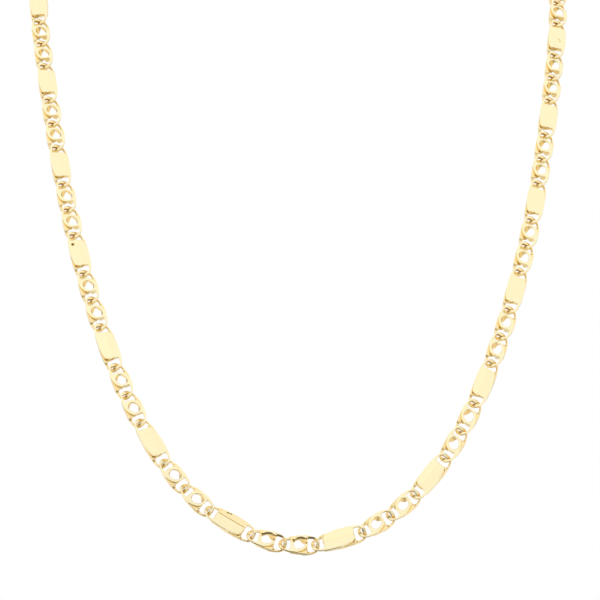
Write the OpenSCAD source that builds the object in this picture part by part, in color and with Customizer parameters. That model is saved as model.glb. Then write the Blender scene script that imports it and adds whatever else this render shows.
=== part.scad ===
// Link chain necklace: long plate links with two eye links between each pair,
// all twisted, pressed flat and interlocked, closed at the nape by a plain clasp.
// The chain hangs as it does when worn. +Z is up and the front faces -Y.

/* [Chain] */
// Width of the chain across its flat face
chain_w = 3.6; // [3.4:0.1:4]
// Thickness of the chain from face to back
chain_t = 1.8; // [1.6:0.1:2]
// Width of the wire round a link's ends, seen from the front
wire = 0.55; // [0.5:0.01:0.6]
// Thickness of the wire at a link's very end
tip_t = 0.75; // [0.6:0.05:0.75]
// Play between two links' end wires
play = 0.45; // [0.4:0.01:0.5]
// How far the sides of a link's end lean, as a slope
lean = 0.62; // [0.6:0.01:0.65]
// Length of a link over which it turns from flat to leaning
turn = 1.5; // [1.2:0.1:1.6]
// How far the bottom joint lies to the wearer's right of the middle
bottom_shift = 3.65; // [0:0.01:6]

/* [Eye link] */
// Length of the eye link's flat ring
eye_body = 3.2; // [3.1:0.05:3.25]
// Length of the oval eye along the link
eye_l = 2.4; // [2:0.1:2.4]
// Width of the eye across the link
eye_w = 1.9; // [1.6:0.1:2]
// Length of the slot at each end of a link
slot_l = 1.775; // [1.7:0.005:1.8]
// Height of that slot
slot_h = 2.3; // [2.1:0.1:2.4]

/* [Plate link] */
// Length of the plate between its two slots
plate_body = 6.14; // [5.8:0.02:6.2]
// How far the plate's edges lie below the crease along its middle
crown = 0.12; // [0:0.01:0.2]

/* [Clasp] */
// Thickness of the clasp's tail and jaw
clasp_t = 1.2; // [1:0.05:1.3]
// Thickness of the boss in the clasp's middle
boss_t = 2.4; // [2:0.1:2.6]
// Inside radius of the two rings
ring_r = 1.9; // [1.8:0.05:2]
// Diameter of the rings' wire
ring_wire = 0.8; // [0.7:0.05:0.85]
// Play of a ring on what it holds
ring_play = 0.3; // [0.2:0.01:0.35]

/* [Hidden] */
// Groups of eye, plate and eye on each side of the bottom joint
groups_side = 11;
PLATES = 2 * groups_side;
PLATE_NAMES = [for (k = [1:PLATES]) str("plate_link_", k < 10 ? "0" : "", k)];

gold = [0.95, 0.83, 0.52];
pale_gold = [0.97, 0.88, 0.62];

// Guide points of the right half of the loop, from the bottom of the front to the nape
// [half width, distance behind the front, height above the bottom]
HALF_LOOP = [
    [0, 0, 0],
    [21.2, 0.8, 9.5],
    [34.3, 6.3, 30.3],
    [45.2, 25.5, 61.8],
    [51, 48.7, 93.9],
    [55.6, 74, 122.1],
    [47.6, 99.6, 140.4],
    [26.6, 120.8, 149.3],
    [0, 127.4, 150.9]
];
half_n = len(HALF_LOOP) - 1;
GUIDE = [each HALF_LOOP,
    for (i = [half_n - 1:-1:1]) [-HALF_LOOP[i].x, HALF_LOOP[i].y, HALF_LOOP[i].z]];
// Points of the curve from one guide point to the next
STEPS = 24;

// Point of a smooth closed curve that the guide points draw after them
function on_curve(i, t) =
    let (n = len(GUIDE), a = GUIDE[(i + n - 1) % n], b = GUIDE[i % n],
        c = GUIDE[(i + 1) % n], d = GUIDE[(i + 2) % n])
    (pow(1 - t, 3) * a + (3 * t * t * t - 6 * t * t + 4) * b
        + (-3 * t * t * t + 3 * t * t + 3 * t + 1) * c + t * t * t * d) / 6;

CURVE = [for (i = [0:len(GUIDE) - 1], k = [0:STEPS - 1]) on_curve(i, k / STEPS), on_curve(0, 0)];
LENGTHS = [for (i = 0, s = 0; i < len(CURVE);
    s = s + (i + 1 < len(CURVE) ? norm(CURVE[i + 1] - CURVE[i]) : 0), i = i + 1) s];
loop_l = LENGTHS[len(LENGTHS) - 1];
X_AT = [for (i = [0:len(CURVE) - 1]) [LENGTHS[i], CURVE[i].x]];
Y_AT = [for (i = [0:len(CURVE) - 1]) [LENGTHS[i], CURVE[i].y]];
Z_AT = [for (i = [0:len(CURVE) - 1]) [LENGTHS[i], CURVE[i].z]];

// Point at a distance along the loop from the bottom, positive to the viewer's right
function at(s) =
    let (d = s < 0 ? s + loop_l : s)
    [lookup(d, X_AT), lookup(d, Y_AT), lookup(d, Z_AT)];

// Which way the flat face looks: forward and a little up on the chest, outward at the neck
face_up = 0.4;
turn_from = 0.52;
function unit(v) = v / norm(v);
function facing(s) =
    let (a = max(0, (2 * abs(s) / loop_l - turn_from) / (1 - turn_from)),
        angle = 180 * a * a * (3 - 2 * a))
    [sign(s) * sin(angle), -cos(angle), face_up];

// Place of a link between two joints, as [middle, along, across, out]
function seat(s0, s1) =
    let (p = at(s0), q = at(s1), along = unit(q - p), g = facing((s0 + s1) / 2),
        out = unit(g - (g * along) * along))
    [(p + q) / 2, along, cross(out, along), out];

NAPE = seat(loop_l / 2 - 0.5, loop_l / 2);
MOUNT = at(loop_l / 2) - chain_t / 2 * NAPE[3];
function placed(seat, p) = seat[0] - MOUNT + p.x * seat[1] + p.y * seat[2] + p.z * seat[3];

overlap = 2 * wire + play;
eye_pitch = eye_body + 2 * (slot_l + wire) - overlap;
plate_pitch = plate_body + 2 * (slot_l + wire) - overlap;
group_l = 2 * eye_pitch + plate_pitch;

// Where a link starts along the loop, for a group counted from the viewer's left end
function group_start(g) = (g - groups_side) * group_l - bottom_shift;

// Rows of the right half of a link's outline, above its middle line
// [x of the outer edge, x of the inner edge, y of the inner edge]
shoulder = 0.15;
corner = 0.35;
tip_corner = 0.5;
tip_bow = 0.05;
function end_rows(body) =
    let (b = body / 2, e = b + slot_l, h = slot_h / 2) [
        [b + shoulder, b, 0],
        [b + shoulder, b, h - corner],
        [b + 2.5 * corner, b + corner, h],
        [e - 2 * tip_bow, e - tip_corner, h],
        [e + corner, e - tip_bow, 0.7 * h],
        [e + wire, e, 0]
    ];
eye_x = eye_l / 2;
eye_y = eye_w / 2;
EYE_ROWS = [
    [0, 0, eye_y],
    [eye_x, eye_x * sin(30), eye_y * cos(30)],
    [eye_x, eye_x * sin(60), eye_y * cos(60)],
    [eye_body / 2 + shoulder, eye_x, 0],
    each end_rows(eye_body)
];
PLATE_ROWS = [
    [0, 0, 0],
    [plate_body / 2 - turn, plate_body / 2 - turn, 0],
    each end_rows(plate_body)
];

// Whole row of stations from the left end to the right end
function both_halves(rows) = [
    for (i = [len(rows) - 1:-1:1]) [-rows[i][0], -rows[i][1], rows[i][2]],
    each rows
];

// Height of the outer edge above the middle line, for a link of half length half_l
round_power = 3.6;
function edge_y(x, half_l) =
    let (u = min(1, abs(x) / half_l))
    chain_w / 2 * pow(max(0, 1 - pow(u, round_power)), 1 / round_power);

// Front and back of a link at a point: a thick band that leans towards its ends,
// with both faces ground flat
raw_body_t = chain_t + 0.2;
thin_past_body = 0.4;
function part_way(x, from, run) = min(1, max(0, (abs(x) - from) / run));
function turned(x, b) = part_way(x, b - turn, turn);
function raw_t(x, b) =
    raw_body_t + (tip_t - raw_body_t) * part_way(x, b - turn, turn + thin_past_body);
function front_z(x, y, b, dome) =
    min(chain_t / 2 - dome * abs(y) / chain_w * 2,
        raw_t(x, b) / 2 + lean * sign(x) * turned(x, b) * y);
function back_z(x, y, b, dome) = -front_z(x, -y, b, dome);

// Points of one link in the part's frame, in four runs for the front and four for the back
function link_points(rows, body, dome, seat) =
    let (st = both_halves(rows), b = body / 2, half_l = b + slot_l + wire)
    [for (side = [1, -1], run = [0:3], i = [0:len(st) - 1])
        let (x = run < 2 ? st[i][0] : st[i][1],
            y = (run < 2 ? edge_y(x, half_l) : st[i][2]) * (run % 2 == 0 ? 1 : -1))
        placed(seat, [x, y, side > 0 ? front_z(x, y, b, dome) : back_z(x, y, b, dome)])];

// Two triangles of a four-sided patch, leaving out the ones with no area
function patch(a, b, c, d) = [
    if (a != b && b != c && a != c) [a, b, c],
    if (a != c && c != d && a != d) [a, c, d]
];

// Triangles that close a link, numbered from the point start
function link_faces(rows, start) =
    let (st = both_halves(rows), n = len(st))
    [for (i = [0:n - 2])
        let (
            o0 = first_outer(st, i), o1 = first_outer(st, i + 1),
            end0 = abs(st[o0][0]) >= abs(st[n - 1][0]), end1 = abs(st[o1][0]) >= abs(st[n - 1][0]),
            up0 = o0, up1 = o1,
            lo0 = end0 ? o0 : n + o0, lo1 = end1 ? o1 : n + o1,
            in0 = 2 * n + i, in1 = 2 * n + i + 1,
            un0 = st[i][2] > 0 ? 3 * n + i : in0, un1 = st[i + 1][2] > 0 ? 3 * n + i + 1 : in1,
            back = 4 * n, open = st[i][2] > 0 || st[i + 1][2] > 0
        )
        each [for (f = [
            each patch(up0, up1, in1, in0),
            each patch(un0, un1, lo1, lo0),
            each patch(back + in0, back + in1, back + up1, back + up0),
            each patch(back + lo0, back + lo1, back + un1, back + un0),
            each (up0 == up1 ? [] : patch(up1, up0, back + up0, back + up1)),
            each (lo0 == lo1 ? [] : patch(lo0, lo1, back + lo1, back + lo0)),
            each (open ? patch(in0, in1, back + in1, back + in0) : []),
            each (open ? patch(un1, un0, back + un0, back + un1) : [])
        ]) [for (v = f) v + start]]
    ];
function first_outer(st, i) = i > 0 && st[i][0] == st[i - 1][0] ? first_outer(st, i - 1) : i;

module plate_link(number) {
    s0 = group_start(number) + eye_pitch;
    color(pale_gold)
        polyhedron(
            points = link_points(PLATE_ROWS, plate_body, crown, seat(s0, s0 + plate_pitch)),
            faces = link_faces(PLATE_ROWS, 0),
            convexity = 6);
}

// The eye links of a run of groups, two to a group, as one set of loose solids
module eye_links(first_group) {
    starts = [for (g = [first_group:first_group + groups_side - 1])
        each [group_start(g), group_start(g) + eye_pitch + plate_pitch]];
    count = 8 * len(both_halves(EYE_ROWS));
    color(gold)
        polyhedron(
            points = [for (s = starts)
                each link_points(EYE_ROWS, eye_body, 0, seat(s, s + eye_pitch))],
            faces = [for (k = [0:len(starts) - 1]) each link_faces(EYE_ROWS, k * count)],
            convexity = 10);
}

module eye_links_left() eye_links(0);
module eye_links_right() eye_links(groups_side);

// Chain's two free ends at the back, measured along the loop
right_tip = group_start(PLATES) + overlap / 2;
left_tip = loop_l + group_start(0) - overlap / 2;
ring_from_tip = ring_r - wire - ring_play;

// Moves children from a flat drawing in X and Y to a seat on the chain
module on_seat(seat) {
    p = placed(seat, [0, 0, 0]);
    multmatrix([
        [seat[1].x, seat[2].x, seat[3].x, p.x],
        [seat[1].y, seat[2].y, seat[3].y, p.y],
        [seat[1].z, seat[2].z, seat[3].z, p.z],
        [0, 0, 0, 1]])
        children();
}

function back_seat(s) =
    let (k = s > loop_l / 2 ? s - loop_l : s)
    seat(k - 0.5, k + 0.5);

module ring_at(s) {
    on_seat(back_seat(s))
        rotate([90, 0, 0])
            rotate_extrude($fn = 48)
                translate([ring_r + ring_wire / 2, 0])
                    circle(d = ring_wire, $fn = 24);
}

module jump_ring() color(gold) ring_at(ring_seat_s[0]);

module end_ring() color(gold) ring_at(ring_seat_s[1]);

// Flat outline round a row of discs, each joined to the next by common tangents
// Each disc is [x of its middle, radius]
ARC_STEPS = 8;
function tangent_angle(d, e) = acos((d[1] - e[1]) / (e[0] - d[0]));
function upper_edge(discs) = [
    for (i = [0:len(discs) - 1])
        let (
            from = i == 0 ? 180 : tangent_angle(discs[i - 1], discs[i]),
            to = i == len(discs) - 1 ? 0 : tangent_angle(discs[i], discs[i + 1])
        )
        for (k = [0:ARC_STEPS])
            let (a = from + (to - from) * k / ARC_STEPS)
            [discs[i][0] + discs[i][1] * cos(a), discs[i][1] * sin(a)]
];
module round_row(discs) {
    upper = upper_edge(discs);
    polygon([each upper, for (i = [len(upper) - 2:-1:1]) [upper[i].x, -upper[i].y]]);
}

// The clasp spans from ring to ring, and its end walls lie inside them
ring_seat_s = [right_tip + ring_from_tip, left_tip - ring_from_tip];
end_wall = 0.8;
clasp_l = norm(at(ring_seat_s[1]) - at(ring_seat_s[0])) - 2 * (ring_r - ring_play - end_wall);
tail_r = 1.6;
jaw_r = 3.1;
nose_r = 2.5;
boss_r = 1.7;
tail_x = tail_r - clasp_l / 2;
nose_x = clasp_l / 2 - nose_r;
jaw_x = 0.9;
boss_x = -2.6;
jaw_hole_x = 1.8;
jaw_hole_r = 2;
module clasp() {
    color(pale_gold)
        on_seat(seat(ring_seat_s[0], ring_seat_s[1]))
            difference() {
                union() {
                    translate([0, 0, -clasp_t / 2])
                        linear_extrude(clasp_t)
                            round_row([[tail_x, tail_r], [jaw_x, jaw_r], [nose_x, nose_r]]);
                    translate([boss_x, 0, -boss_t / 2])
                        cylinder(h = boss_t, r = boss_r, $fn = 48);
                }
                translate([0, 0, -clasp_t])
                    linear_extrude(2 * clasp_t)
                        round_row([[jaw_hole_x, jaw_hole_r], [nose_x, nose_r - end_wall]]);
                translate([tail_x, 0, -clasp_t])
                    cylinder(h = 2 * clasp_t, r = tail_r - end_wall, $fn = 32);
            }
}

for (k = [0:PLATES - 1])
    plate_link(k);
eye_links_left();
eye_links_right();
clasp();
jump_ring();
end_ring();
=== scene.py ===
"""Link chain necklace: long plate links with two eye links between each pair, closed by a clasp.

The chain hangs as it does when worn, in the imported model's frame: metres, +Z up, front facing -Y.
"""
from math import ceil, cos, pi, radians, sin

import bmesh
import bpy
import numpy as np
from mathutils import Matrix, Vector
from mathutils.geometry import delaunay_2d_cdt


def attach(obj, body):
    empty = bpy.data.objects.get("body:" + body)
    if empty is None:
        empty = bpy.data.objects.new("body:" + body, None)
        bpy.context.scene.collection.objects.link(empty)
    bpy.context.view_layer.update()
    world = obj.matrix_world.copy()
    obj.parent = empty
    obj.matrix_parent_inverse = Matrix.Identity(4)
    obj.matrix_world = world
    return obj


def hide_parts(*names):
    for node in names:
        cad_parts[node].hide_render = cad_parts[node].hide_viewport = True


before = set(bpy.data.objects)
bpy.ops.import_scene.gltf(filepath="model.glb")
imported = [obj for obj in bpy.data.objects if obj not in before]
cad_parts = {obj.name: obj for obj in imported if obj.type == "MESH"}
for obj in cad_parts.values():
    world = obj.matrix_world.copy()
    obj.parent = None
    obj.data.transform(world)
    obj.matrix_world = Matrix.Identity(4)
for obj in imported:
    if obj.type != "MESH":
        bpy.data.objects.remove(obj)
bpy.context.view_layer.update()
scene = bpy.context.scene
mm = 0.001

# Camera
# A long lens a little above the bottom of the loop and to the left of its middle. The
# chain fills the frame from side to side and leaves it at the top.
camera_data = bpy.data.cameras.new("Camera")
camera_data.lens = 253.03
camera_data.sensor_width = 36
camera_data.clip_start = 10 * mm
camera = bpy.data.objects.new("Camera", camera_data)
camera.location = (-26.92 * mm, -923.89 * mm, -109.18 * mm)
camera.rotation_euler = (radians(90.645), radians(-0.816), radians(-1.868))
scene.collection.objects.link(camera)
scene.camera = camera

# Plate links
# Long solid plates of yellow gold wire, each with a slot at both ends for its neighbours.
# Each link is twisted so that its ends lean across each other, then ground flat on both
# faces, which leaves a front layer that drops in a sharp step to the back one.
chain_w = 3.6 * mm
chain_t = 1.8 * mm
wire = 0.55 * mm
play = 0.45 * mm
slot_l = 1.775 * mm
slot_h = 2.3 * mm
plate_body = 6.14 * mm
eye_body = 3.2 * mm
bottom_shift = 3.65 * mm
GROUPS_SIDE = 11

# Right half of the loop, from its bottom to the nape, in millimetres
# [distance from the middle, distance behind the front, height above the bottom]
HALF_LOOP = [
    (0, 0, 0),
    (21.2, 0.8, 9.5),
    (34.3, 6.3, 30.3),
    (45.2, 25.5, 61.8),
    (51, 48.7, 93.9),
    (55.6, 74, 122.1),
    (47.6, 99.6, 140.4),
    (26.6, 120.8, 149.3),
    (0, 127.4, 150.9),
]
CURVE_STEPS = 24
left_half = [(-x, y, z) for x, y, z in HALF_LOOP[-2:0:-1]]
guide = [Vector(p) * mm for p in HALF_LOOP + left_half]


def on_curve(i, t):
    """A point of the smooth closed curve that the guide points draw after them."""
    a, b, c, d = (guide[(i + k) % len(guide)] for k in (-1, 0, 1, 2))
    return (
        (1 - t) ** 3 * a
        + (3 * t**3 - 6 * t * t + 4) * b
        + (-3 * t**3 + 3 * t * t + 3 * t + 1) * c
        + t**3 * d
    ) / 6


curve = [on_curve(i, k / CURVE_STEPS) for i in range(len(guide)) for k in range(CURVE_STEPS)]
curve = np.array(curve + [curve[0]])
lengths = np.concatenate([[0], np.cumsum(np.linalg.norm(np.diff(curve, axis=0), axis=1))])
loop_l = lengths[-1]

# The share of each half at which the links start to turn, and how far they look up
TURN_START = 0.52
FACE_UP = 0.4


def at(s):
    """The loop's point at a distance from the bottom, positive to the viewer's right."""
    return Vector([np.interp(s % loop_l, lengths, curve[:, k]) for k in range(3)])


def facing(s):
    """Which way the flat face looks: forward and up on the chest, outward at the neck."""
    turned = max(0, (2 * abs(s) / loop_l - TURN_START) / (1 - TURN_START))
    angle = pi * turned * turned * (3 - 2 * turned)
    return Vector((np.sign(s) * sin(angle), -cos(angle), FACE_UP))


def seat(s0, s1):
    """The place of a link between two joints: its middle, and its ways along, across and out."""
    p, q = at(s0), at(s1)
    along = (q - p).normalized()
    looks = facing((s0 + s1) / 2)
    out = (looks - looks.dot(along) * along).normalized()
    return (p + q) / 2 - rest_point, along, out.cross(along), out


# The origin is on the inner side of the loop's highest point, where it rests on the nape
rest_point = Vector((0, 0, 0))
nape_stretch = 0.5 * mm
out_at_nape = seat(loop_l / 2 - nape_stretch, loop_l / 2)[3]
rest_point = at(loop_l / 2) - chain_t / 2 * out_at_nape

overlap = 2 * wire + play
eye_pitch = eye_body + 2 * (slot_l + wire) - overlap
plate_pitch = plate_body + 2 * (slot_l + wire) - overlap
group_l = 2 * eye_pitch + plate_pitch


def group_start(g):
    """Where along the loop a group of eye, plate and eye starts, counted from the left end."""
    return (g - GROUPS_SIDE) * group_l - bottom_shift


# The ends: how square the outline and the slot's tip are, and the leaning end wire
PLATE_ROUND = 3
SLOT_TIP_ROUND = 4
visible_slot = slot_l - 0.15 * mm
slot_corner = 0.16 * mm
tip_t = 0.75 * mm
lean = 0.62
tip_run = 0.5 * mm
# The step: how far it runs out as it drops, the lowest shelf behind it, and the back layer's
# slope: its height at the link's middle, its fall to the body's end, and its fall beyond
step_run = 0.06 * mm
shelf_z = -0.35 * mm
slope_top = 0.45 * mm
slope_fall = 0.35 * mm
TIP_FALL = 1.2
# The edges: chamfer of the ground face, rounding of the wires and how much of it shows, height
# of the lips of the walls, and soft side of the crease
chamfer = 0.05 * mm
wire_round = 0.15 * mm
arm_round = 0.1 * mm
ROUND_SHARE = 0.8
lip = 0.07 * mm
crease_soft = 0.13 * mm
# Pits, in shares of the radius: rings of points, reach, steepness, upper edge and flat floor
PIT_RINGS = (0.5, 0.85, 1.15)
PIT_REACH = 1.4
PIT_SLOPE = 0.7
PIT_EDGE = 1.15
PIT_FLOOR = 0.6
# Where the bridge between eye and slot is ground: its start, and heights of rows in millimetres
bridge_start = 0.4 * mm
BRIDGE_ROWS = (0.98, 1.1, 1.22)
# How far apart points are set along the edges and on the flat faces, and how much closer the
# rows of an even pattern lie than its points
edge_step = 0.16 * mm
face_step = 0.34 * mm
ROW_SHARE = 0.87
# Edges that turn by more than this look sharp
SHARP_FROM = radians(35)
# How close the free points may come to a rim, to the step, to the crease and to each other
rim_clear = 0.035 * mm
step_clear = 0.03 * mm
crease_clear = 0.05 * mm
point_clear = 0.05 * mm


def resampled(points, step):
    """The same open line with points evenly spaced along it."""
    points = np.array(points)
    run = np.concatenate([[0], np.cumsum(np.linalg.norm(np.diff(points, axis=0), axis=1))])
    where = np.linspace(0, run[-1], ceil(run[-1] / step) + 1)
    return np.stack([np.interp(where, run, points[:, k]) for k in (0, 1)], axis=1)


def with_crossings(line, levels, centre, way):
    """The line with a point added wherever one of the level functions passes zero on it.

    Each point is pushed a hair off the metal's side, so that no three lie on one line. None is
    added where a level jumps past zero, or beside a point that is there already.
    """
    hair = 0.0002 * mm
    jump = 0.5 * mm
    beside = 0.03
    found = [line[0]]
    for p, q in zip(line[:-1], line[1:]):
        cuts = []
        for level in levels:
            a, b = level(*p), level(*q)
            if a * b < 0 and abs(a - b) < jump:
                cuts.append(a / (a - b))
        for t in sorted(cuts):
            if beside < t < 1 - beside:
                cut = p + (q - p) * t
                found.append(cut + way * hair * (cut - centre) / np.linalg.norm(cut - centre))
        found.append(q)
    return np.array(found)


def smooth_line(points):
    """A smooth line through points given in millimetres."""
    points = np.array([points[0]] + list(points) + [points[-1]]) * mm
    shares = np.linspace(0, 1, 12, endpoint=False)
    line = []
    for a, b, c, d in zip(points[:-3], points[1:-2], points[2:-1], points[3:]):
        for t in shares:
            line.append(
                b
                + (c - a) / 2 * t
                + (a - 2.5 * b + 2 * c - d / 2) * t**2
                + (1.5 * b - a / 2 - 1.5 * c + d / 2) * t**3
            )
    return np.array(line + [points[-1]])


def superellipse(width, height, power):
    """A rounded corner from the X axis to the Y axis, squarer with a higher power."""
    angles = np.linspace(0, pi / 2, 300)
    return np.stack(
        [width * np.cos(angles) ** (2 / power), height * np.sin(angles) ** (2 / power)],
        axis=1,
    )


def mirrored_loop(half):
    """A closed loop from its upper half, which starts and ends on the middle line."""
    return np.concatenate([half, half[-2:0:-1] * (1, -1)])


def inside(points, loop):
    """Which of the points lie inside a closed loop."""
    x, y = points[:, 0], points[:, 1]
    odd = np.zeros(len(points), bool)
    for (x0, y0), (x1, y1) in zip(loop, np.roll(loop, -1, axis=0)):
        if y0 != y1:
            crosses = (y0 > y) != (y1 > y)
            odd ^= crosses & (x < (x1 - x0) * (y - y0) / (y1 - y0) + x0)
    return odd


def nearest_piece(points, starts, ends):
    """Each point's distance from the nearest of some straight pieces, and that piece's number."""
    along = ends - starts
    off = points[:, None] - starts
    t = np.clip((off * along).sum(axis=2) / np.maximum((along**2).sum(axis=1), 1e-18), 0, 1)
    gaps = np.linalg.norm(off - t[:, :, None] * along, axis=2)
    nearest = gaps.argmin(axis=1)
    return gaps[np.arange(len(points)), nearest], nearest


def distance(points, lines):
    """How far each point is from the nearest of some closed lines."""
    starts = np.concatenate(lines)
    ends = np.concatenate([np.roll(line, -1, axis=0) for line in lines])
    return nearest_piece(points, starts, ends)[0]


def rise(upper, lower, run):
    """How far one value is above another, as a share of a run, from 0 to 1."""
    return np.clip((upper - lower) / run, 0, 1)


class LinkShape:
    """One link, lying in X and Y with its front towards +Z.

    The front is a plan cut into triangles, each point with its own height, and the back is
    the front turned half round. Walls join the two round the outline and each opening.
    """

    def __init__(self, body, roundness, step, eye=None, crease=None, pits=(), under=0, below=0):
        """Draw the outline and the openings round a solid body of a given length.

        step is the edge of the front layer, crease is the plate's crease, and pits are [along,
        across, radius]. under and below are how far the metal is ground away beneath the upper
        arm and along the lower edge.
        """
        self.half_body = body / 2
        self.half_link = self.half_body + slot_l + wire
        self.eye, self.crease, self.pits = eye, crease, pits
        self.under, self.below = under, below
        self.step_corner = step[4]
        # The step down from the front layer follows a line from the outline to the slot, and
        # the same line turned half round
        self.step_line = resampled(smooth_line(step), edge_step)
        self.step_ways = np.diff(self.step_line, axis=0)
        self.step_ways /= np.linalg.norm(self.step_ways, axis=1)[:, None]
        levels = [
            lambda x, y, way=way, d=d: self.past_step(x, way * y) - d
            for way in (1, -1)
            for d in (-chamfer, 0, step_run)
        ]
        if crease:
            levels.append(lambda x, y: y - crease["y"])
        quarter = resampled(superellipse(self.half_link, chain_w / 2, roundness), edge_step)
        quarter = with_crossings(quarter, levels, np.zeros(2), 1)
        self.outer = mirrored_loop(np.concatenate([quarter, quarter[-2::-1] * (-1, 1)]))
        slot = self.slot_loop(levels)
        self.openings = [slot, slot * (-1, 1)]
        if eye:
            self.openings.append(self.eye_loop())
        self.loops = [self.outer] + self.openings

    def past_end(self, x, y, turn):
        """How far points lie past the step at one end: 1 is the lower right, -1 the upper left."""
        p = np.stack([np.atleast_1d(x), np.atleast_1d(y)], axis=1) * turn
        gap, piece = nearest_piece(p, self.step_line[:-1], self.step_line[1:])
        off = p - self.step_line[piece]
        right = self.step_ways[piece, 1] * off[:, 0] - self.step_ways[piece, 0] * off[:, 1]
        near = (p[:, 0] > self.step_line[0, 0]) & (p[:, 1] < self.step_line[-1, 1])
        return np.where(near, np.where(right > 0, gap, -gap), -1.0)

    def past_step(self, x, y):
        """How far points lie outside the front layer, negative on it."""
        return np.maximum(self.past_end(x, y, 1), self.past_end(x, y, -1))

    def slot_loop(self, levels):
        """The slot at the right, straight towards the body and nearly square at its tip."""
        slot_share = 0.85
        h = slot_h / 2
        tip_part = visible_slot - 2 * slot_corner
        tip_side = superellipse(tip_part, h, SLOT_TIP_ROUND) + (self.half_body + visible_slot - tip_part, 0)
        turns = np.linspace(pi / 2, pi, 8)
        corner_x = slot_corner * (1 + np.cos(turns)) + self.half_body
        corner_y = h - slot_corner + slot_corner * np.sin(turns)
        half = [tip_side, np.stack([corner_x, corner_y], axis=1), [(self.half_body, 0)]]
        half = resampled(np.concatenate(half), edge_step * slot_share)
        half = with_crossings(half, levels, np.array([self.half_body + slot_l / 2, 0]), -1)
        return mirrored_loop(half)

    def eye_loop(self):
        """The round eye, a slanted oval."""
        self.eye_turns = np.linspace(0, 2 * pi, 48, endpoint=False)
        from_slant = self.eye_turns - self.eye["slant"]
        across = np.hypot(
            np.cos(from_slant) / self.eye["length"], np.sin(from_slant) / self.eye["width"]
        )
        way = np.stack([np.cos(self.eye_turns), np.sin(self.eye_turns)], axis=1)
        return way / (2 * across[:, None]) + self.eye["middle"]

    def fixed_lines(self):
        """The plan's fixed points and the lines that join them: rims, steps and crease."""
        points, edges = [], []
        for loop in self.loops:
            start = len(points)
            points += list(loop)
            edges += [(start + i, start + (i + 1) % len(loop)) for i in range(len(loop))]
        rim = np.array(points)

        line_clear = 0.04 * mm
        reach = 1.1 * mm

        def add_line(line, rim_value):
            """A line between the two rim points in reach of it where rim_value is nearest zero."""
            line = line[inside(line, self.outer) & (distance(line, self.loops) > line_clear)]
            ends = []
            for tip in (line[0], line[-1]):
                close = np.linalg.norm(rim - tip, axis=1) < reach
                ends.append(int(np.argmin(np.where(close, abs(rim_value), 1))))
            ids = [ends[0]] + list(range(len(points), len(points) + len(line))) + [ends[1]]
            points.extend(line)
            edges.extend(zip(ids[:-1], ids[1:]))

        rightwards = np.stack([self.step_ways[:, 1], -self.step_ways[:, 0]], axis=1)
        for d in (0, step_run):
            line = self.step_line[:-1] + d * rightwards
            line = line[(line[:, 1] < self.step_line[-1, 1]) & (line[:, 0] < self.half_body)]
            away = self.past_step(rim[:, 0], rim[:, 1]) - d
            add_line(line, away)
            add_line(-line, away)
        if self.crease:
            xs = np.arange(-self.half_body, self.half_body, edge_step * 2)[1:]
            crease_line = np.stack([xs, np.full(len(xs), self.crease["y"])], axis=1)
            add_line(crease_line, rim[:, 1] - self.crease["y"])
        return points, edges

    def edge_rows(self):
        """Rows of points beside each edge, which carry its chamfer and the wire's round.

        The right slot and the eye have theirs further in where the arm above them is ground.
        """
        a_little = 0.01 * mm
        rows = []
        for i, loop in enumerate(self.loops):
            way = np.roll(loop, -1, axis=0) - np.roll(loop, 1, axis=0)
            normal = np.stack([-way[:, 1], way[:, 0]], axis=1)
            normal /= np.linalg.norm(normal, axis=1)[:, None]
            trial = loop + normal * a_little
            in_metal = inside(trial, self.outer).mean() > 0.5
            if i > 0 and inside(trial, loop).mean() > 0.5:
                in_metal = False
            depths = [chamfer, 0.5 * wire_round, wire_round]
            if self.under and i in (1, 3):
                depths = [chamfer, 0.35 * self.under, 0.7 * self.under, self.under]
            rows += [loop + (d if in_metal else -d) * normal for d in depths]
        return rows

    def free_points(self):
        """The plan's other points: rows beside the edges and the crease, pits, and a grid."""
        rows = self.edge_rows()
        xs = np.arange(-self.half_link, self.half_link, face_step)
        ys = np.arange(-chain_w / 2, chain_w / 2, face_step * ROW_SHARE)
        grid = [(x + (face_step / 2 if j % 2 else 0), y) for j, y in enumerate(ys) for x in xs]
        if self.crease:
            beside = np.arange(-self.half_body, self.half_body, 1.5 * edge_step)
            for d in (-crease_soft, crease_soft):
                rows.append(np.stack([beside, np.full(len(beside), self.crease["y"] + d)], axis=1))
            grid_clear = 0.22 * mm
            grid = [p for p in grid if abs(p[1] - self.crease["y"]) > grid_clear]
        grid = np.array(grid)
        if self.under:
            beside = np.arange(bridge_start, self.half_body, edge_step)
            for height in BRIDGE_ROWS:
                rows.append(np.stack([beside, np.full(len(beside), height * mm)], axis=1))
            grid_clear = self.under + 0.1 * mm
            under_arm = distance(grid, [self.openings[0], self.openings[2]])
            grid = grid[(under_arm > grid_clear) | (grid[:, 1] < 0)]
        points = np.concatenate(rows + [grid])
        turns = np.linspace(0, 2 * pi, 12, endpoint=False)
        for x, y, r in self.pits:
            rings = [(k * cos(turn), k * sin(turn)) for k in PIT_RINGS for turn in turns]
            pit = [(x, y)] + [(x + r * u, y + r * v) for u, v in rings]
            far = np.linalg.norm(points - (x, y), axis=1) > r * PIT_REACH
            points = np.concatenate([points[far], pit])
        return points[self.clear_of_lines(points)]

    def clear_of_lines(self, points):
        """Which points lie in the metal and not too close to a rim, a step or the crease."""
        fits = inside(points, self.outer)
        for opening in self.openings:
            fits &= ~inside(points, opening)
        fits &= distance(points, self.loops) > rim_clear
        past = self.past_step(points[:, 0], points[:, 1])
        fits &= np.minimum(abs(past), abs(past - step_run)) > step_clear
        if self.crease:
            fits &= abs(points[:, 1] - self.crease["y"]) > crease_clear
        return fits

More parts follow.
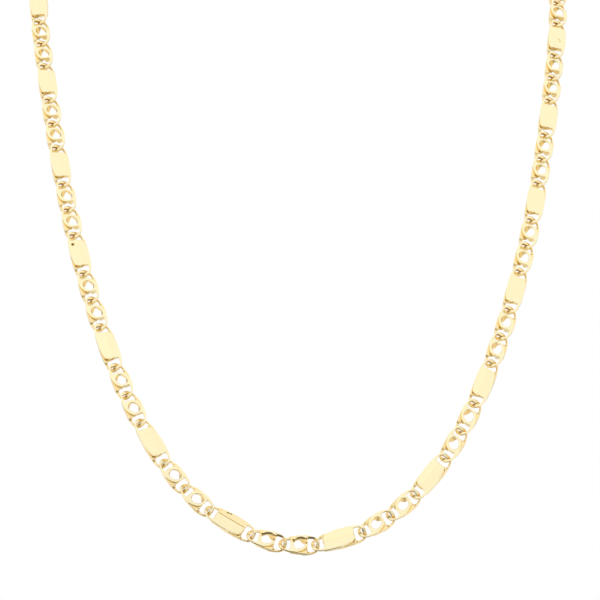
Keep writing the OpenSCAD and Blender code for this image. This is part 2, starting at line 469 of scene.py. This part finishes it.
    def cut_plan(self):
        """The plan's points, its triangles and where each fixed point ended up.

        Of points that nearly meet the first is kept. Such points come close after each other.
        """
        points, edges = self.fixed_lines()
        lately = 60
        same_point = 1e-6
        kept = []
        for p in self.free_points():
            if all(abs(p[0] - q[0]) + abs(p[1] - q[1]) > point_clear for q in kept[-lately:]):
                kept.append(p)
        plan = [Vector(p) / mm for p in points + kept]
        cut = delaunay_2d_cdt(plan, edges, [], 1, same_point, True)
        found, _, triangles, originals, _, _ = cut
        flat = np.array([tuple(p) for p in found]) * mm
        middles = np.array([flat[list(t)].mean(axis=0) for t in triangles])
        solid = inside(middles, self.outer)
        for opening in self.openings:
            solid &= ~inside(middles, opening)
        place = {}
        for i, found_from in enumerate(originals):
            for k in found_from:
                place[k] = i
        return flat, [tuple(t) for t, keep in zip(triangles, solid) if keep], place

    def face_heights(self, x, y):
        """The front layer's heights, with the slopes of its crease and its flat-bottomed pits."""
        high = np.full(len(x), chain_t / 2)
        if self.crease:
            line = self.crease["y"]
            up = rise(y, line, chain_w / 2 - line)
            down = rise(line, y, chain_w / 2 + line)
            high -= self.crease["hollow"] * (1 - (1 - up) ** 2) + self.crease["fall"] * down
        for px, py, r in self.pits:
            gap = np.hypot(x - px, y - py) / r
            high -= PIT_SLOPE * r * np.clip(PIT_EDGE - gap, 0, PIT_FLOOR)
        return high

    def ground_off(self, flat, past):
        """How much is ground off the front along its edges.

        The lowest links are ground more steeply under their upper arm and along their lower
        edge.
        """
        x, y = flat[:, 0], flat[:, 1]
        beside_step = np.where(past > -chamfer, np.maximum(-past, 0), chamfer)
        nearest = np.minimum(distance(flat, self.loops), beside_step)
        ground = np.clip(chamfer - nearest, 0, chamfer)
        if self.under:
            # The arm itself, from its left end on, and the bridge between the eye and the slot
            arm_y, arm_run, arm_end = 0.1 * mm, 0.3 * mm, -1.6 * mm
            under_arm = distance(flat, [self.openings[0], self.openings[2]])
            arm = rise(y, arm_y, arm_run) * (x > arm_end)
            ground = np.maximum(ground, arm * np.clip(self.under - under_arm, 0, self.under))
            bridge_x, bridge_low, bridge_run = 0.55 * mm, 0.2 * mm, 0.4 * mm
            bridge_top, bridge_fall = BRIDGE_ROWS[-1] * mm, 0.24 * mm
            bridge = rise(x, bridge_x, bridge_run) * (x < self.half_body + 0.01 * mm)
            bridge *= rise(bridge_top, y, bridge_fall) * rise(y, bridge_low, bridge_run)
            ground = np.maximum(ground, bridge * self.under)
        if self.below:
            low_y, low_run = -0.9 * mm, 0.3 * mm
            low_edge = rise(low_y, y, low_run) * (past < 0)
            from_outline = distance(flat, [self.outer])
            ground = np.maximum(ground, low_edge * np.clip(self.below - from_outline, 0, self.below))
        return ground

    def front_heights(self, flat, past, ground):
        """The heights of the front: the ground layer, and past the step the leaning end wire."""
        x, y = flat[:, 0], flat[:, 1]
        end = self.end_of(x, y)
        ahead = end * x
        leaning = tip_t / 2 + lean * end * y
        # Past the step the back layer slopes from the middle to the end wire, over the shelf
        past_body = np.maximum(0, ahead - self.half_body)
        slope = slope_top - slope_fall * ahead / self.half_body - TIP_FALL * past_body
        slope = np.where(past > 0, slope, -1)
        to_tip = rise(abs(x), self.half_body, tip_run)
        rounds = arm_round + (wire_round - arm_round) * to_tip
        inset = np.clip(rounds - distance(flat, self.loops), 0, rounds)
        rounding = rounds - np.sqrt(rounds**2 - inset**2)
        low = np.maximum(np.maximum(leaning, shelf_z), slope) - ROUND_SHARE * rounding
        layer = self.face_heights(x, y) - ground
        tip_z = np.minimum(layer, low)
        # On the front layer the face is kept over the body, and meets the wire in the tip's run
        over_body = np.where(to_tip > 0.02, (1 - to_tip) * tip_run, 1)
        body_z = np.minimum(layer, low + over_body)
        over = np.clip(past / step_run, 0, 1)
        return np.where(over > 0, body_z + (tip_z - body_z) * over, body_z)

    def end_of(self, x, y):
        """Which end each point belongs to: 1 at the right and -1 at the left."""
        past_left = np.where(self.past_end(x, y, -1) > 0, -1, np.sign(x))
        return np.where(self.past_end(x, y, 1) > 0, 1, past_left)

    def back_heights(self, flat, front):
        """The heights of the back, mirrored in Y: the front's, but thinner beside the openings.

        The outer edge is eased where the metal is thick.
        """
        x, y = flat[:, 0], flat[:, 1]
        # Beside the slots, on the body's last stretch and as high as the slot
        stretch, stretch_run, edge_run = 0.8 * mm, 0.6 * mm, 0.4 * mm
        on_body = abs(x) < self.half_body + 0.02 * mm
        thinned = rise(stretch - self.half_body + abs(x), 0, stretch_run) * on_body
        thinned *= rise(slot_h / 2 + 0.2 * mm, abs(y), edge_run)
        if self.eye:
            # Round the eye, but not at its two ends, nor wholly at its upper left
            round_eye = np.arctan2(-y - self.eye["middle"][1], x - self.eye["middle"][0])
            kept = 1.2 * np.clip(np.sin(2 * round_eye), 0, 1)
            kept_corner = np.clip(1.5 - abs(round_eye - radians(135)) / radians(25), 0, 1)
            cut = np.clip(1 - np.maximum(kept, 0.6 * kept_corner), 0, 1)
            hollow_w, hollow_run = 0.5 * mm, 0.2 * mm
            beside_eye = rise(hollow_w, distance(flat, [self.openings[2]]), hollow_run)
            thinned = np.maximum(thinned * cut, beside_eye * cut)
        back = -front
        thin_back = 0.25 * mm
        back = back + thinned * (np.maximum(back, thin_back) - back)
        eased_w, eased_z, eased_run = 0.45 * mm, 0.6 * mm, 0.5 * mm
        eased = np.clip(1 - distance(flat, [self.outer]) / eased_w, 0, 1)
        eased *= rise(self.half_body + 0.3 * mm, abs(x), eased_run)
        eased *= rise(0, self.past_step(x, -y), eased_run)
        return np.maximum(back, eased_z * eased - chain_t / 2)

    def painted_shade_marks(self, flat, past, ground, front):
        """How much shade is painted at each point: 0 on the open face, 1 in a recess, more where it is
        painted black as deep shadow.
        """
        x, y = flat[:, 0], flat[:, 1]
        down = self.face_heights(x, y) - front
        # Painted shade at the step's foot, and a little on its head and on the layer behind it
        head, foot = past <= 0.5 * step_run, past < 1.5 * step_run
        marks = np.select([past <= 0, head, foot], [0, 0.2, 1.1], 0.05)
        # Painted shade: the deeper, the darker, and more so at the tips
        marks = np.maximum(marks, np.clip(down / (0.8 * mm) - 0.4, 0, 0.3))
        at_tip = rise(abs(x) - self.half_body, 0.45 * slot_l, 0.4 * slot_l)
        marks = np.maximum(marks, 1.2 * at_tip * np.clip(down / (0.4 * mm) - 1.4, 0, 1))
        if self.crease:
            # Painted shade on the crease line and on the face just above it
            above = self.crease["above"] * rise(y, self.crease["y"], crease_soft)
            on_line = abs(y - self.crease["y"]) < 0.02 * mm
            marks = np.maximum(marks, np.where(on_line, self.crease["line"], above))
        if self.under:
            # Painted shade on the ground edge, darker towards the left of the eye
            darker = 0.7 + 0.9 * rise(-0.1 * mm, x, 0.8 * mm) * (y > 0)
            marks = np.maximum(marks, darker * rise(ground, chamfer, chamfer))
        # Painted shadow, darkest in the step's bend
        end = self.end_of(x, y)
        bend_x, bend_y = self.step_corner
        from_bend = np.hypot(end * x - bend_x * mm, end * y - bend_y * mm + 0.1 * mm)
        in_step = (past > 0) & (past < 4 * step_run)
        marks += np.where(in_step, 1.2 * np.clip(1 - from_bend / (0.5 * mm), 0, 1), 0)
        # Pits are painted black, a painted shadow in the dent
        for px, py, r in self.pits:
            marks = np.maximum(marks, rise(1.25, np.hypot(x - px, y - py) / r, 0.3) * 3)
        return marks

    def wall_shade_marks(self, number, loop):
        """The same painted shade for the walls round one loop: along its front lip, and along its back lip.

        The outline is painted darker at the back, a slot at its tip, and the eye at its ends and its
        upper left.
        """
        if number == 0:
            return np.full(len(loop), 0.4), np.full(len(loop), 1.0)
        if number < 3:
            marks = 0.3 + 1.1 * rise(abs(loop[:, 0]) - self.half_body, 0.3 * slot_l, 0.3 * slot_l)
            return marks, marks
        marks = 0.6 + 0.5 * np.clip(np.sin(2 * self.eye_turns), 0, 1)
        upper_left = self.eye_turns < radians(165)
        marks += 0.4 * rise(self.eye_turns, radians(70), 0.5) * upper_left
        return marks, marks

    def mesh(self, name):
        """The finished mesh, with the painted shade attribute and the map that the gold reads.

        Each wall has four rings of points: the front's rim, a lip below it, a lip above the
        back's rim, and that rim.
        """
        flat, triangles, place = self.cut_plan()
        past = self.past_step(flat[:, 0], flat[:, 1])
        ground = self.ground_off(flat, past)
        front = self.front_heights(flat, past, ground)
        back = self.back_heights(flat, front)
        marks = list(self.painted_shade_marks(flat, past, ground, front)) * 2
        vertices = [(x, y, z) for (x, y), z in zip(flat, front)]
        vertices += [(x, -y, z) for (x, y), z in zip(flat, back)]
        faces = []
        for t in triangles:
            a, b, c = (flat[i] for i in t)
            if (b[0] - a[0]) * (c[1] - a[1]) - (b[1] - a[1]) * (c[0] - a[0]) < 0:
                t = t[::-1]
            faces += [t, tuple(len(flat) + i for i in t)]
        start = 0
        for number, loop in enumerate(self.loops):
            n = len(loop)
            fronts = [place[start + i] for i in range(n)]
            backs = [len(flat) + fronts[-i % n] for i in range(n)]
            rings = [fronts]
            lips = zip((-lip, lip), (fronts, backs), self.wall_shade_marks(number, loop))
            for drop, ids, ring_marks in lips:
                rings.append(range(len(vertices), len(vertices) + n))
                vertices += [(*vertices[i][:2], vertices[i][2] + drop) for i in ids]
                marks += list(ring_marks)
            rings.append(backs)
            for upper, lower in zip(rings[:-1], rings[1:]):
                for i in range(n):
                    j = (i + 1) % n
                    faces.append((upper[i], upper[j], lower[j], lower[i]))
            start += n

        link = bpy.data.meshes.new(name)
        link.from_pydata(vertices, [], faces)
        painted_shade = link.attributes.new("painted_shade", "FLOAT", "POINT")
        painted_shade.data.foreach_set("value", [float(v) for v in marks])
        shaped = bmesh.new()
        shaped.from_mesh(link)
        bmesh.ops.recalc_face_normals(shaped, faces=shaped.faces)
        along_link = shaped.loops.layers.uv.new("along_link")
        for face in shaped.faces:
            face.smooth = True
            for corner in face.loops:
                corner[along_link].uv = (corner.vert.co.x / mm, corner.vert.co.y / mm)
        shaped.to_mesh(link)
        shaped.free()
        link.set_sharp_from_angle(angle=SHARP_FROM)
        return link


def links_on_seats():
    """A Geometry Nodes tree that sets a copy of a link on each seat and makes them one mesh."""
    tree = bpy.data.node_groups.new("Links on seats", "GeometryNodeTree")
    ask = tree.interface.new_socket
    sockets = {"seats": ask("Seats", in_out="INPUT", socket_type="NodeSocketGeometry")}
    sockets["link"] = ask("Link", in_out="INPUT", socket_type="NodeSocketObject")
    sockets["finish"] = ask("Finish", in_out="INPUT", socket_type="NodeSocketMaterial")
    sockets["rock"] = ask("Rock", in_out="INPUT", socket_type="NodeSocketFloat")
    sockets["seed"] = ask("Seed", in_out="INPUT", socket_type="NodeSocketInt")
    ask("Links", in_out="OUTPUT", socket_type="NodeSocketGeometry")
    add, join = tree.nodes.new, tree.links.new
    given = add("NodeGroupInput")

    def stored(name, kind):
        node = add("GeometryNodeInputNamedAttribute")
        node.data_type = kind
        node.inputs["Name"].default_value = name
        return node.outputs["Attribute"]

    # A small turn about the link's length, as much to one side as to the other. Inputs 2 and 3
    # of the random value are its least and its greatest, and output 1 is the result.
    number = stored("number", "INT")
    rocking = add("FunctionNodeRandomValue")
    rocking.data_type = "FLOAT"
    opposite = add("ShaderNodeMath")
    opposite.operation = "MULTIPLY"
    opposite.inputs[1].default_value = -1
    join(given.outputs["Rock"], opposite.inputs[0])
    join(opposite.outputs[0], rocking.inputs[2])
    join(given.outputs["Rock"], rocking.inputs[3])
    join(number, rocking.inputs["ID"])
    join(given.outputs["Seed"], rocking.inputs["Seed"])
    about_length = add("ShaderNodeCombineXYZ")
    join(rocking.outputs[1], about_length.inputs["X"])
    small_turn = add("FunctionNodeEulerToRotation")
    join(about_length.outputs[0], small_turn.inputs[0])

    # The link's own X runs along the chain, and its Z looks outwards
    lengthwise = add("FunctionNodeAlignRotationToVector")
    lengthwise.axis = "X"
    join(stored("along", "FLOAT_VECTOR"), lengthwise.inputs["Vector"])
    outwards = add("FunctionNodeAlignRotationToVector")
    outwards.axis = "Z"
    outwards.pivot_axis = "X"
    join(lengthwise.outputs[0], outwards.inputs["Rotation"])
    join(stored("out", "FLOAT_VECTOR"), outwards.inputs["Vector"])
    rocked = add("FunctionNodeRotateRotation")
    rocked.rotation_space = "LOCAL"
    join(outwards.outputs[0], rocked.inputs[0])
    join(small_turn.outputs[0], rocked.inputs[1])

    link = add("GeometryNodeObjectInfo")
    join(given.outputs["Link"], link.inputs["Object"])
    copies = add("GeometryNodeInstanceOnPoints")
    join(given.outputs["Seats"], copies.inputs["Points"])
    join(link.outputs["Geometry"], copies.inputs["Instance"])
    join(rocked.outputs[0], copies.inputs["Rotation"])
    real = add("GeometryNodeRealizeInstances")
    join(copies.outputs[0], real.inputs[0])
    finished = add("GeometryNodeSetMaterial")
    join(real.outputs[0], finished.inputs["Geometry"])
    join(given.outputs["Finish"], finished.inputs["Material"])
    result = add("NodeGroupOutput")
    join(finished.outputs[0], result.inputs[0])
    return tree, {key: socket.identifier for key, socket in sockets.items()}


seats_tree, seats_inputs = links_on_seats()
LINK_ROCK = radians(1.2)
ROCK_SEED = 4


def set_links(name, starts, pitch, link, finish):
    """A piece made of copies of one link, on the seats that start at places on the loop.

    Each link rocks a little by its number, which is its place in tenths of a millimetre.
    """
    seats = [seat(s, s + pitch) for s in starts]
    points = bpy.data.meshes.new(name + "_seats")
    points.from_pydata([middle for middle, _, _, _ in seats], [], [])
    for key, column in (("along", 1), ("out", 3)):
        ways = points.attributes.new(key, "FLOAT_VECTOR", "POINT")
        ways.data.foreach_set("vector", [v for place in seats for v in place[column]])
    numbers = points.attributes.new("number", "INT", "POINT")
    tenth = 0.1 * mm
    numbers.data.foreach_set("value", [round(s / tenth) for s in starts])
    carrier = bpy.data.objects.new(name + "_carrier", points)
    scene.collection.objects.link(carrier)
    pattern = bpy.data.objects.new(name + "_pattern", link)
    scene.collection.objects.link(pattern)
    modifier = carrier.modifiers.new("Links", "NODES")
    modifier.node_group = seats_tree
    modifier[seats_inputs["link"]] = pattern
    modifier[seats_inputs["finish"]] = finish
    modifier[seats_inputs["rock"]] = LINK_ROCK
    modifier[seats_inputs["seed"]] = ROCK_SEED
    ready = carrier.evaluated_get(bpy.context.evaluated_depsgraph_get())
    piece = bpy.data.objects.new(name, bpy.data.meshes.new_from_object(ready))
    piece.data.name = name
    carrier.modifiers.remove(modifier)
    bpy.data.objects.remove(carrier)
    bpy.data.objects.remove(pattern)
    scene.collection.objects.link(piece)
    return piece


def colour_mix(nodes, join, factor, first, second):
    """The colour between two others, which are sockets or plain colours."""
    node = nodes.new("ShaderNodeMix")
    node.data_type = "RGBA"
    sockets = {socket.identifier: socket for socket in node.inputs}
    join(factor, sockets["Factor_Float"])
    for key, colour in (("A_Color", first), ("B_Color", second)):
        if isinstance(colour, tuple):
            sockets[key].default_value = colour
        else:
            join(colour, sockets[key])
    return next(socket for socket in node.outputs if socket.identifier == "Result_Color")


def gold_surface():
    """Polished gold: brushed lines along the link, painted shade in the recesses, and painted black shadow
    in pits and deep corners.

    The mark read here is 0 on the open face, 1 where a recess is painted in shade and 2 or more where it is
    painted black.
    """
    group = bpy.data.node_groups.new("Gold surface", "ShaderNodeTree")
    ask = group.interface.new_socket
    for name in ("Face", "Painted Shade", "Deep Shadow"):
        ask(name, in_out="INPUT", socket_type="NodeSocketColor")
    for name in ("Polish", "Recess Roughness", "Brush Lines", "Brush Stretch"):
        ask(name, in_out="INPUT", socket_type="NodeSocketFloat")
    ask("Colour", in_out="OUTPUT", socket_type="NodeSocketColor")
    ask("Roughness", in_out="OUTPUT", socket_type="NodeSocketFloat")
    ask("Height", in_out="OUTPUT", socket_type="NodeSocketFloat")
    add, join = group.nodes.new, group.links.new
    given, result = add("NodeGroupInput"), add("NodeGroupOutput")

    def math(kind, first, second, clamp=False):
        node = add("ShaderNodeMath")
        node.operation = kind
        node.use_clamp = clamp
        for socket, value in zip(node.inputs, (first, second)):
            if isinstance(value, (int, float)):
                socket.default_value = value
            else:
                join(value, socket)
        return node.outputs[0]

    # Brushed lines: fine noise drawn out along the link, which differs from link to link
    on_link = add("ShaderNodeUVMap")
    on_link.uv_map = "along_link"
    link_place = add("ShaderNodeSeparateXYZ")
    join(on_link.outputs["UV"], link_place.inputs[0])
    on_chain = add("ShaderNodeTexCoord")
    chain_place = add("ShaderNodeSeparateXYZ")
    join(on_chain.outputs["Object"], chain_place.inputs[0])
    drawn_out = add("ShaderNodeCombineXYZ")
    stretched = math("MULTIPLY", link_place.outputs["X"], given.outputs["Brush Stretch"])
    join(stretched, drawn_out.inputs["X"])
    join(link_place.outputs["Y"], drawn_out.inputs["Y"])
    change_per_metre = 30
    changing = math("MULTIPLY", chain_place.outputs["Z"], change_per_metre)
    join(changing, drawn_out.inputs["Z"])
    lines = add("ShaderNodeTexNoise")
    lines.inputs["Scale"].default_value = 9
    lines.inputs["Detail"].default_value = 3
    join(drawn_out.outputs[0], lines.inputs["Vector"])

    # Colour: the face's, the recess colour as painted shade, unevenly, and the pit colour as painted black
    # shadow
    cloud = add("ShaderNodeTexNoise")
    cloud.inputs["Scale"].default_value = 420
    cloud.inputs["Detail"].default_value = 2
    join(on_chain.outputs["Object"], cloud.inputs["Vector"])
    depth = add("ShaderNodeAttribute")
    depth.attribute_name = "painted_shade"
    sunk = math("MINIMUM", depth.outputs["Fac"], 1)
    deep_shadow_share = math("SUBTRACT", depth.outputs["Fac"], 1, clamp=True)
    least_painted_shade, extra_painted_shade = 0.75, 0.5
    uneven = math("MULTIPLY_ADD", cloud.outputs["Fac"], extra_painted_shade)
    uneven.node.inputs[2].default_value = least_painted_shade
    painted_shade_share = math("MULTIPLY", sunk, uneven, clamp=True)
    colour = colour_mix(group.nodes, join, painted_shade_share, given.outputs["Face"], given.outputs["Painted Shade"])
    colour = colour_mix(group.nodes, join, deep_shadow_share, colour, given.outputs["Deep Shadow"])
    join(colour, result.inputs["Colour"])

    # Roughness and height: the lines show on the open face alone
    open_face = math("SUBTRACT", 1, sunk, clamp=True)
    line_roughness = 0.1
    brushed = math("MULTIPLY_ADD", lines.outputs["Fac"], line_roughness)
    join(given.outputs["Polish"], brushed.node.inputs[2])
    rougher = add("ShaderNodeMix")
    join(sunk, rougher.inputs["Factor"])
    join(brushed, rougher.inputs["A"])
    join(given.outputs["Recess Roughness"], rougher.inputs["B"])
    join(rougher.outputs[0], result.inputs["Roughness"])
    scratches = math("MULTIPLY", lines.outputs["Fac"], given.outputs["Brush Lines"])
    join(math("MULTIPLY", scratches, open_face), result.inputs["Height"])
    return group


gold_group = gold_surface()
# Nearly black: painted shadow in the pits, the step's bend and the darkest corners
DEEP_SHADOW_COLOUR = (0.13, 0.1, 0.04)
line_depth = 0.02 * mm


def gold(name, face, painted_shade, polish, recess_roughness, brush_lines, brush_stretch):
    """A gold finish built on the shared surface, with its own colours, among them a painted shade colour,
    polish and lines.
    """
    finish = bpy.data.materials.new(name)
    finish.use_nodes = True
    nodes, join = finish.node_tree.nodes, finish.node_tree.links.new
    shader = nodes["Principled BSDF"]
    shader.inputs["Metallic"].default_value = 1
    surface = nodes.new("ShaderNodeGroup")
    surface.node_tree = gold_group
    surface.inputs["Face"].default_value = (*face, 1)
    # The recess colour is painted shade, the pit colour painted black shadow
    surface.inputs["Painted Shade"].default_value = (*painted_shade, 1)
    surface.inputs["Deep Shadow"].default_value = (*DEEP_SHADOW_COLOUR, 1)
    surface.inputs["Polish"].default_value = polish
    surface.inputs["Recess Roughness"].default_value = recess_roughness
    surface.inputs["Brush Lines"].default_value = brush_lines
    surface.inputs["Brush Stretch"].default_value = brush_stretch
    relief = nodes.new("ShaderNodeBump")
    relief.inputs["Distance"].default_value = line_depth
    join(surface.outputs["Height"], relief.inputs["Height"])
    join(relief.outputs["Normal"], shader.inputs["Normal"])
    join(surface.outputs["Colour"], shader.inputs["Base Color"])
    join(surface.outputs["Roughness"], shader.inputs["Roughness"])
    return finish


# Its recess colour is painted shade in the plates' recesses
plate_gold = gold(
    "Plate gold", face=(0.95, 0.845, 0.54), painted_shade=(0.92, 0.65, 0.25), polish=0.2,
    recess_roughness=0.28, brush_lines=1.0, brush_stretch=0.12,
)
# Edge of the front layer in millimetres, from the outline to the slot [along the link, across it]
plate_step = [
    (-0.7, -1.95), (0.2, -1.78), (1.4, -1.6), (2.2, -1.42), (2.62, -1.2), (2.84, -0.8), (3, 0.3),
]
# The crease: its place across the plate, how hollow the face is above it and how far it falls
# below it, and how dark the painted shade is on the crease line and on the face just above it
plate_crease = {"y": 0.3 * mm, "hollow": 0.12 * mm, "fall": 0.06 * mm, "line": 0.15, "above": 0.02}
# Two plates at the bottom are creased more deeply, with darker painted shade on the crease, and their lower
# edge is ground away
DEEP_CREASES = {
    11: {"y": 0.45 * mm, "hollow": 0.24 * mm, "fall": 0.06 * mm, "line": 2.1, "above": 0.3},
    12: {"y": 0.05 * mm, "hollow": 0.14 * mm, "fall": 0.06 * mm, "line": 0.5, "above": 0.08},
}
low_edge_cut = 0.1 * mm
# Pits in single plates in millimetres [from the middle along the plate, across it, radius], each
# sunk and painted black as its shadow. A row of small ones makes the nick in the upper edge of plate 11.
PLATE_PITS = {
    8: [(-2.15, -0.87, 0.25)],
    11: [(-1.4 + 0.15 * k, 1.34 + 0.03 * k, 0.09) for k in (0, 1, 2, 4, 5, 6)],
    18: [(-0.98, -0.64, 0.09), (-0.4, -0.36, 0.08)],
}
plain_plate = LinkShape(plate_body, PLATE_ROUND, plate_step, crease=plate_crease)
plain_plate = plain_plate.mesh("plate_pattern")
for k in range(2 * GROUPS_SIDE):
    number = k + 1
    shape = plain_plate
    if number in PLATE_PITS or number in DEEP_CREASES:
        crease = DEEP_CREASES.get(number, plate_crease)
        pits = [(x * mm, y * mm, r * mm) for x, y, r in PLATE_PITS.get(number, ())]
        below = low_edge_cut if number in DEEP_CREASES else 0
        single = LinkShape(plate_body, PLATE_ROUND, plate_step, crease=crease, pits=pits, below=below)
        shape = single.mesh(f"single_plate_{number:02d}")
    start = group_start(k) + eye_pitch
    plate = set_links(f"gold_plate_{number:02d}", [start], plate_pitch, shape, plate_gold)
    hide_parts(f"plate_link_{number:02d}")
    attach(plate, "root")

# Eye links
# Short links of the same wire, two between each pair of plates, whose solid middle is
# pierced by a round eye. They are twisted and ground flat as the plates are.
# Its recess colour is painted shade in the eye links' recesses
eye_gold = gold(
    "Eye gold", face=(0.95, 0.845, 0.54), painted_shade=(0.94, 0.64, 0.21), polish=0.19,
    recess_roughness=0.26, brush_lines=0.6, brush_stretch=0.3,
)
EYE_ROUND = 2.45
# Edge of the front layer in millimetres, from the outline to the slot [along the link, across it]
eye_step = [
    (-1.1, -1.95), (-0.5, -1.66), (0.2, -1.46), (0.85, -1.16), (1.32, -0.72), (1.55, -0.3), (1.64, 0.3),
]
eye_oval = {
    "length": 2.5 * mm,
    "width": 1.9 * mm,
    "slant": radians(32),
    "middle": (0.08 * mm, 0.06 * mm),
}
eye_link = LinkShape(eye_body, EYE_ROUND, eye_step, eye=eye_oval).mesh("eye_pattern")
# The two lowest links are ground away more, with painted shade along the ground edge, and have small sunk
# spots painted black as the shadow in the wedges at the eye's two ends [along the link, across it, radius],
# in mm
LOW_EYE_SHADOW_SPOTS = [(-1.22, 0.7, 0.13), (-1.02, 0.72, 0.11), (1.38, 0.16, 0.13)]
low_eye_link = LinkShape(
    eye_body, EYE_ROUND, eye_step, eye=eye_oval, under=0.32 * mm, below=0.14 * mm,
    pits=[(x * mm, y * mm, r * mm) for x, y, r in LOW_EYE_SHADOW_SPOTS],
).mesh("low_eye_pattern")
for side, first in (("left", 0), ("right", GROUPS_SIDE)):
    starts = []
    for g in range(first, first + GROUPS_SIDE):
        starts += [group_start(g), group_start(g) + eye_pitch + plate_pitch]
    # The lowest eye link of each side is the one nearest to the bottom of the loop
    lowest = min(starts, key=lambda s: abs(s + eye_pitch / 2))
    starts.remove(lowest)
    plain_eyes = set_links(f"gold_eyes_{side}", starts, eye_pitch, eye_link, eye_gold)
    low_eye = set_links(f"gold_low_eye_{side}", [lowest], eye_pitch, low_eye_link, eye_gold)
    for eyes in (plain_eyes, low_eye):
        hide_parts(f"eye_links_{side}")
        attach(eyes, "root")

# Clasp and its rings
# A plain cast clasp of the same gold, with a boss over its spring and an open jaw, lies
# at the nape between two drawn wire rings. They keep the imported shapes.
# Its recess colour is the painted shade colour
clasp_gold = gold(
    "Clasp gold", face=(0.96, 0.84, 0.54), painted_shade=(0.88, 0.6, 0.22), polish=0.24,
    recess_roughness=0.3, brush_lines=0.0, brush_stretch=0.3,
)
for node in ("clasp", "jump_ring", "end_ring"):
    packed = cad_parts[node]
    packed.data.materials.clear()
    packed.data.materials.append(clasp_gold)

# Studio
# A pale floor well below the chain, a wide soft light in front of it and above, and a pale
# surround that is darker low down, which the gold's lower edges mirror. Two soft darker
# patches on the floor, one behind the chain and one before it, show in its lowest links.
floor_mesh = bpy.data.meshes.new("Floor")
round_floor = bmesh.new()
bmesh.ops.create_circle(round_floor, cap_ends=True, segments=96, radius=1.6)
round_floor.to_mesh(floor_mesh)
round_floor.free()
floor = bpy.data.objects.new("Floor", floor_mesh)
floor.location = (0, 0, -0.36)
scene.collection.objects.link(floor)
pale = bpy.data.materials.new("Pale floor")
pale.use_nodes = True
nodes, join = pale.node_tree.nodes, pale.node_tree.links.new
nodes["Principled BSDF"].inputs["Roughness"].default_value = 0.9
place_on_floor = nodes.new("ShaderNodeTexCoord")
FLOOR_SHADE = 0.97
# The patches in metres [x, y, radius of the darkest part, outer radius, shade of the middle]
PATCHES = [(0.01, 0.14, 0.04, 0.1, 0.3), (0, -0.34, 0.22, 0.36, 0.12)]
floor_shade = None
for x, y, inner, outer, shade in PATCHES:
    centred = nodes.new("ShaderNodeMapping")
    centred.inputs["Location"].default_value = (-x, -y, 0)
    join(place_on_floor.outputs["Object"], centred.inputs["Vector"])
    from_middle = nodes.new("ShaderNodeVectorMath")
    from_middle.operation = "LENGTH"
    join(centred.outputs[0], from_middle.inputs[0])
    fade = nodes.new("ShaderNodeMapRange")
    fade.interpolation_type = "SMOOTHSTEP"
    fade.inputs["From Min"].default_value = inner
    fade.inputs["From Max"].default_value = outer
    fade.inputs["To Min"].default_value = shade
    fade.inputs["To Max"].default_value = FLOOR_SHADE
    join(from_middle.outputs["Value"], fade.inputs["Value"])
    with_last = nodes.new("ShaderNodeMath")
    with_last.operation = "MULTIPLY"
    with_last.inputs[1].default_value = 1
    join(fade.outputs[0], with_last.inputs[0])
    if floor_shade:
        join(floor_shade, with_last.inputs[1])
    floor_shade = with_last.outputs[0]
join(floor_shade, nodes["Principled BSDF"].inputs["Base Color"])
# Seen straight, the floor is an even white, as a lit paper backdrop is
white = nodes.new("ShaderNodeEmission")
white.inputs["Strength"].default_value = 1.02
floor_ray = nodes.new("ShaderNodeLightPath")
lit_or_white = nodes.new("ShaderNodeMixShader")
join(floor_ray.outputs["Is Camera Ray"], lit_or_white.inputs[0])
join(nodes["Principled BSDF"].outputs[0], lit_or_white.inputs[1])
join(white.outputs[0], lit_or_white.inputs[2])
join(lit_or_white.outputs[0], nodes["Material Output"].inputs["Surface"])
floor_mesh.materials.append(pale)

key_data = bpy.data.lights.new("Key", "AREA")
key_data.shape = "RECTANGLE"
key_data.size = 1.0
key_data.size_y = 0.6
key_data.energy = 0.15
key = bpy.data.objects.new("Key", key_data)
key.location = (-0.35, -0.9, 0.75)
to_chain = Vector((0, -0.06, -0.08)) - key.location
key.rotation_euler = to_chain.to_track_quat("-Z", "Y").to_euler()
scene.collection.objects.link(key)

surround = bpy.data.worlds.new("Surround")
scene.world = surround
surround.use_nodes = True
nodes, join = surround.node_tree.nodes, surround.node_tree.links.new
direction = nodes.new("ShaderNodeTexCoord")
split = nodes.new("ShaderNodeSeparateXYZ")
join(direction.outputs["Generated"], split.inputs[0])
height = nodes.new("ShaderNodeMapRange")
height.inputs["From Min"].default_value = -1
height.inputs["From Max"].default_value = 1
join(split.outputs["Z"], height.inputs["Value"])
ramp = nodes.new("ShaderNodeValToRGB")
join(height.outputs[0], ramp.inputs["Fac"])
# From straight down to straight up [share of the way, shade]
SHADES = [(0.0, 0.2), (0.35, 0.35), (0.5, 0.85), (0.62, 1.0), (0.85, 1.05), (1.0, 1.1)]
stops = ramp.color_ramp.elements
while len(stops) < len(SHADES):
    stops.new(0.5)
for stop, (where, shade) in zip(stops, SHADES):
    stop.position = where
    stop.color = (shade, shade, shade * 0.99, 1)
# Seen straight, the surround is white
surround_ray = nodes.new("ShaderNodeLightPath").outputs["Is Camera Ray"]
seen_colour = colour_mix(nodes, join, surround_ray, ramp.outputs[0], (1, 1, 1, 1))
background = nodes["Background"]
background.inputs["Strength"].default_value = 1.0
join(seen_colour, background.inputs["Color"])
scene.view_settings.view_transform = "Standard"
